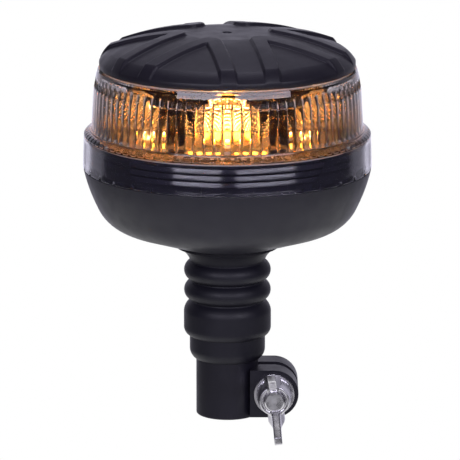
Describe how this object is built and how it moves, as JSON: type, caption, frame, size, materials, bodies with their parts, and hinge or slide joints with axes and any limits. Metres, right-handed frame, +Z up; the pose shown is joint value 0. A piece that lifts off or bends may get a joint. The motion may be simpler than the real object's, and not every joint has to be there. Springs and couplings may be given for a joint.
{
  "type": "led beacon",
  "caption": "Amber warning beacon: clear fluted lens over reflector bowls, black base and ribbed cap, on a flexible rubber bellows with a clamp socket for a pole stud.",
  "frame": {"origin": "on the beacon's axis at the mouth of the pole socket", "axes": "+Z up the axis towards the cap, +X from the axis towards the clamp bolt, -Y to the front, where the wing nut is"},
  "size_m": [0.142, 0.142, 0.1988],
  "materials": {
    "socket_plastic": "moulded, fine texture",
    "rubber": "moulded, satin",
    "seal_rubber": "moulded",
    "silicone": "moulded, pale",
    "stainless_steel": "bright stainless",
    "screw_steel": "plated",
    "contact_brass": "bare",
    "insulator": "moulded",
    "wire_sleeve": "extruded",
    "housing_plastic": "moulded, satin",
    "cap_plastic": "moulded, satin",
    "circuit_board": "black solder mask",
    "component_black": "moulded",
    "heat_sink_metal": "cast",
    "led_ceramic": "ceramic",
    "led_dome": "clear silicone over amber",
    "reflector_coating": "vacuum metallised",
    "clear_lens": "clear, polished",
    "vent_fabric": "membrane"
  },
  "bodies": {
    "socket": {"socket_clamp": "socket_plastic", "clamp_bolt": "stainless_steel", "contact_plate": "insulator", "contact_carrier": "insulator", "contact_spring": "screw_steel", "contact_terminal": "contact_brass", "ground_contact": "contact_brass", "ground_rivet": "contact_brass"},
    "bellows": {"flexible_bellows": "rubber", "supply_wires": "wire_sleeve"},
    "head": {"cable_grommet": "seal_rubber", "lens_seal": "silicone", "cap_seal": "silicone", "retainer_screws": "screw_steel", "board_screws": "screw_steel", "heat_sink_screws": "screw_steel", "reflector_screws": "screw_steel", "cap_screws": "screw_steel", "wire_connector": "insulator", "led_leads": "wire_sleeve", "base_housing": "housing_plastic", "bellows_retainer": "housing_plastic", "top_cap": "cap_plastic", "driver_board": "circuit_board", "led_board": "circuit_board", "driver_inductor": "component_black", "driver_capacitors": "component_black", "driver_transistors": "component_black", "controller_chip": "component_black", "heat_sink": "heat_sink_metal", "led_packages": "led_ceramic", "led_domes": "led_dome", "reflector_carrier": "reflector_coating", "outer_lens": "clear_lens", "vent_membrane": "vent_fabric"},
    "washer": {"clamp_washer": "stainless_steel"},
    "nut": {"wing_nut": "stainless_steel"},
    "plunger": {"centre_contact": "contact_brass"}
  },
  "joints": [
    {"name": "flex_tilt_x", "type": "hinge", "parent": "socket", "child": "bellows", "pos_m": [0, 0, 0.0584], "axis": [1, 0, 0], "range_deg": [-20, 20], "stiffness_Nm_per_rad": 8, "deforming": ["flexible_bellows", "supply_wires"]},
    {"name": "flex_tilt_y", "type": "hinge", "parent": "bellows", "child": "head", "pos_m": [0, 0, 0.0786], "axis": [0, 1, 0], "range_deg": [-20, 20], "stiffness_Nm_per_rad": 8, "deforming": ["flexible_bellows", "supply_wires"]},
    {"name": "nut_travel", "type": "slide", "parent": "socket", "child": "washer", "axis": [0, -1, 0], "range_m": [0, 0.0045]},
    {"name": "wing_nut_turn", "type": "hinge", "parent": "washer", "child": "nut", "pos_m": [0.0232, -0.0166, 0.0133], "axis": [0, -1, 0], "range_deg": [0, 1085]},
    {"name": "contact_press", "type": "slide", "parent": "socket", "child": "plunger", "axis": [0, 0, 1], "range_m": [0, 0.0025], "stiffness_N_per_m": 300, "springref_m": -0.003, "deforming": ["contact_spring"]}
  ],
  "couplings": [
    {"joint": "wing_nut_turn", "follows": "nut_travel", "rad_per_m": 4188.8}
  ]
}
